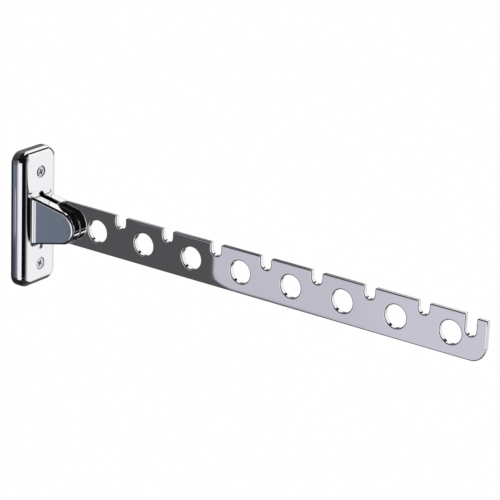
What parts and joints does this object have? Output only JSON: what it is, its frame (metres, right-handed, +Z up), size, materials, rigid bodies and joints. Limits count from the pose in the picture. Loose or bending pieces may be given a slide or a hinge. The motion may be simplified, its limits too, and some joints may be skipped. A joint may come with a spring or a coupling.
{
  "type": "wall mounted clothes valet",
  "caption": "Chromed wall plate with a clevis and a flat notched arm with round holes for coat hangers; the arm folds up against the wall.",
  "frame": {"origin": "the middle of the wall plate's flat back face, on the wall", "axes": "+X across the plate, +Y into the wall so that the arm stands out to -Y, +Z up"},
  "size_m": [0.0296, 0.3047, 0.079],
  "materials": {
    "chromed_casting": "mirror-bright chrome plate on zinc die-casting",
    "chromed_strip": "chrome plate on polished steel strip, rims rounded by tumbling",
    "pin_steel": "plain bright steel",
    "screw_steel": "bright nickel plated screw"
  },
  "bodies": {
    "base": {"wall_plate": "chromed_casting", "pivot_pin": "pin_steel", "upper_screw": "screw_steel", "lower_screw": "screw_steel"},
    "arm": {"folding_arm": "chromed_strip"}
  },
  "joints": [
    {"name": "arm_fold", "type": "hinge", "parent": "base", "child": "arm", "pos_m": [0, -0.03, 0.0005], "axis": [-1, 0, 0], "range_deg": [0, 93]}
  ]
}
